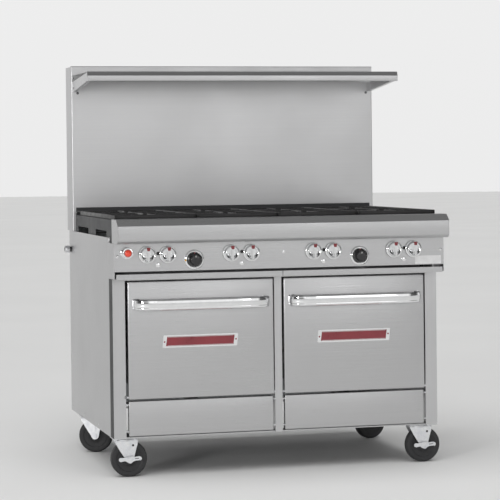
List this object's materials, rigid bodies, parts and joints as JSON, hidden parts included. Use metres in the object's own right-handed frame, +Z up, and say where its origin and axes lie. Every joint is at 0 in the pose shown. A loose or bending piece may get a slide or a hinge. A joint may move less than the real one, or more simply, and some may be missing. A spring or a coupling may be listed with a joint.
{
  "type": "commercial gas range",
  "caption": "Wide stainless gas range on casters: open burners under cast grates, drop-down oven doors, knobs on a front panel, drip trays, tall flue riser with a high shelf.",
  "frame": {"origin": "on the floor, at the middle of the underside of the bounding box", "axes": "+Z up, -Y towards the cook, +X to the cook's right"},
  "size_m": [1.2738, 1.047, 1.511],
  "materials": {
    "stainless": "satin number 4 stainless sheet",
    "frame_steel": "satin, plain",
    "galvanised": "dull zinc coated sheet",
    "burner_box_steel": "matte dark grey",
    "cast_iron": "matte black cast",
    "gas_pipe_steel": "black iron pipe",
    "chrome": "polished chrome",
    "black_plastic": "glossy black",
    "red_plastic": "glossy red",
    "enamel": "speckled porcelain enamel",
    "rack_wire": "nickel plated wire",
    "zinc": "bright zinc plate",
    "caster_tread": "grey elastomer"
  },
  "bodies": {
    "range_body": {"welded_frame": "frame_steel", "side_panel_left": "stainless", "side_panel_right": "stainless", "kick_panel_left": "stainless", "kick_panel_right": "stainless", "rear_panel": "galvanised", "front_rail": "stainless", "control_panel": "stainless", "riser_front_panel": "stainless", "riser_back_panel": "galvanised", "high_shelf": "stainless", "shelf_bracket_left": "stainless", "shelf_bracket_right": "stainless", "burner_box": "burner_box_steel", "burner_pair_1": "cast_iron", "burner_pair_2": "cast_iron", "burner_pair_3": "cast_iron", "burner_pair_4": "cast_iron", "grate_1": "cast_iron", "grate_2": "cast_iron", "grate_3": "cast_iron", "grate_4": "cast_iron", "gas_pipe": "gas_pipe_steel", "oven_cavity_left": "enamel", "oven_cavity_right": "enamel", "oven_burner_left": "cast_iron", "oven_burner_right": "cast_iron", "door_hinge_rod_left": "zinc", "door_hinge_rod_right": "zinc"},
    "door_left": {"door_skin_left": "stainless", "door_liner_left": "enamel", "door_handle_left": "chrome"},
    "door_right": {"door_skin_right": "stainless", "door_liner_right": "enamel", "door_handle_right": "chrome"},
    "rack_left": {"oven_rack_left": "rack_wire"},
    "tray_left": {"drip_tray_left": "stainless"},
    "rack_right": {"oven_rack_right": "rack_wire"},
    "tray_right": {"drip_tray_right": "stainless"},
    "knob_1": {"burner_knob_1": "chrome"},
    "knob_2": {"burner_knob_2": "chrome"},
    "knob_3": {"burner_knob_3": "chrome"},
    "knob_4": {"burner_knob_4": "chrome"},
    "knob_5": {"burner_knob_5": "chrome"},
    "knob_6": {"burner_knob_6": "chrome"},
    "knob_7": {"burner_knob_7": "chrome"},
    "knob_8": {"burner_knob_8": "chrome"},
    "thermostat_left": {"thermostat_knob_left": "black_plastic"},
    "thermostat_right": {"thermostat_knob_right": "black_plastic"},
    "igniter": {"igniter_button": "red_plastic"},
    "fork_front_left": {"caster_fork_front_left": "zinc"},
    "wheel_front_left": {"caster_wheel_front_left": "caster_tread"},
    "brake_front_left": {"brake_lever_front_left": "zinc"},
    "fork_front_right": {"caster_fork_front_right": "zinc"},
    "wheel_front_right": {"caster_wheel_front_right": "caster_tread"},
    "brake_front_right": {"brake_lever_front_right": "zinc"},
    "fork_rear_left": {"caster_fork_rear_left": "zinc"},
    "wheel_rear_left": {"caster_wheel_rear_left": "caster_tread"},
    "fork_rear_right": {"caster_fork_rear_right": "zinc"},
    "wheel_rear_right": {"caster_wheel_rear_right": "caster_tread"}
  },
  "joints": [
    {"name": "door_left_hinge", "type": "hinge", "parent": "range_body", "child": "door_left", "pos_m": [-0.28937, -0.3905, 0.289], "axis": [1, 0, 0], "range_deg": [0, 90]},
    {"name": "door_right_hinge", "type": "hinge", "parent": "range_body", "child": "door_right", "pos_m": [0.28963, -0.3905, 0.289], "axis": [1, 0, 0], "range_deg": [0, 90]},
    {"name": "rack_left_slide", "type": "slide", "parent": "range_body", "child": "rack_left", "axis": [0, -1, 0], "range_m": [0, 0.02]},
    {"name": "tray_left_slide", "type": "slide", "parent": "range_body", "child": "tray_left", "axis": [0, -1, 0], "range_m": [0, 0.45]},
    {"name": "rack_right_slide", "type": "slide", "parent": "range_body", "child": "rack_right", "axis": [0, -1, 0], "range_m": [0, 0.02]},
    {"name": "tray_right_slide", "type": "slide", "parent": "range_body", "child": "tray_right", "axis": [0, -1, 0], "range_m": [0, 0.45]},
    {"name": "knob_1_turn", "type": "hinge", "parent": "range_body", "child": "knob_1", "pos_m": [-0.49837, -0.4685, 0.801], "axis": [0, -1, 0], "range_deg": [0, 135]},
    {"name": "knob_2_turn", "type": "hinge", "parent": "range_body", "child": "knob_2", "pos_m": [-0.42337, -0.4685, 0.801], "axis": [0, -1, 0], "range_deg": [0, 135]},
    {"name": "knob_3_turn", "type": "hinge", "parent": "range_body", "child": "knob_3", "pos_m": [-0.19107, -0.4685, 0.801], "axis": [0, -1, 0], "range_deg": [0, 135]},
    {"name": "knob_4_turn", "type": "hinge", "parent": "range_body", "child": "knob_4", "pos_m": [-0.11607, -0.4685, 0.801], "axis": [0, -1, 0], "range_deg": [0, 135]},
    {"name": "knob_5_turn", "type": "hinge", "parent": "range_body", "child": "knob_5", "pos_m": [0.11633, -0.4685, 0.801], "axis": [0, -1, 0], "range_deg": [0, 135]},
    {"name": "knob_6_turn", "type": "hinge", "parent": "range_body", "child": "knob_6", "pos_m": [0.19133, -0.4685, 0.801], "axis": [0, -1, 0], "range_deg": [0, 135]},
    {"name": "knob_7_turn", "type": "hinge", "parent": "range_body", "child": "knob_7", "pos_m": [0.42363, -0.4685, 0.801], "axis": [0, -1, 0], "range_deg": [0, 135]},
    {"name": "knob_8_turn", "type": "hinge", "parent": "range_body", "child": "knob_8", "pos_m": [0.49863, -0.4685, 0.801], "axis": [0, -1, 0], "range_deg": [0, 135]},
    {"name": "thermostat_left_turn", "type": "hinge", "parent": "range_body", "child": "thermostat_left", "pos_m": [-0.32687, -0.4685, 0.7805], "axis": [0, -1, 0], "range_deg": [0, 270]},
    {"name": "thermostat_right_turn", "type": "hinge", "parent": "range_body", "child": "thermostat_right", "pos_m": [0.29213, -0.4685, 0.7805], "axis": [0, -1, 0], "range_deg": [0, 270]},
    {"name": "igniter_press", "type": "slide", "parent": "range_body", "child": "igniter", "axis": [0, 1, 0], "range_m": [0, 0.004], "stiffness_N_per_m": 900},
    {"name": "swivel_front_left", "type": "hinge", "parent": "range_body", "child": "fork_front_left", "pos_m": [-0.56987, -0.3555, 0.138], "axis": [0, 0, 1], "continuous": true},
    {"name": "roll_front_left", "type": "hinge", "parent": "fork_front_left", "child": "wheel_front_left", "pos_m": [-0.55387, -0.3555, 0.0655], "axis": [0, 1, 0], "continuous": true},
    {"name": "brake_front_left_press", "type": "hinge", "parent": "fork_front_left", "child": "brake_front_left", "pos_m": [-0.55387, -0.3555, 0.0655], "axis": [0, 1, 0], "range_deg": [0, 18]},
    {"name": "swivel_front_right", "type": "hinge", "parent": "range_body", "child": "fork_front_right", "pos_m": [0.54613, -0.3555, 0.138], "axis": [0, 0, 1], "continuous": true},
    {"name": "roll_front_right", "type": "hinge", "parent": "fork_front_right", "child": "wheel_front_right", "pos_m": [0.56213, -0.3555, 0.0655], "axis": [0, 1, 0], "continuous": true},
    {"name": "brake_front_right_press", "type": "hinge", "parent": "fork_front_right", "child": "brake_front_right", "pos_m": [0.56213, -0.3555, 0.0655], "axis": [0, 1, 0], "range_deg": [0, 18]},
    {"name": "swivel_rear_left", "type": "hinge", "parent": "range_body", "child": "fork_rear_left", "pos_m": [-0.57187, 0.2935, 0.138], "axis": [0, 0, 1], "continuous": true},
    {"name": "roll_rear_left", "type": "hinge", "parent": "fork_rear_left", "child": "wheel_rear_left", "pos_m": [-0.55703, 0.28751, 0.0655], "axis": [0.3746, 0.9272, 0], "continuous": true},
    {"name": "swivel_rear_right", "type": "hinge", "parent": "range_body", "child": "fork_rear_right", "pos_m": [0.55513, 0.2975, 0.138], "axis": [0, 0, 1], "continuous": true},
    {"name": "roll_rear_right", "type": "hinge", "parent": "fork_rear_right", "child": "wheel_rear_right", "pos_m": [0.57066, 0.30137, 0.0655], "axis": [-0.2419, 0.9703, 0], "continuous": true}
  ]
}
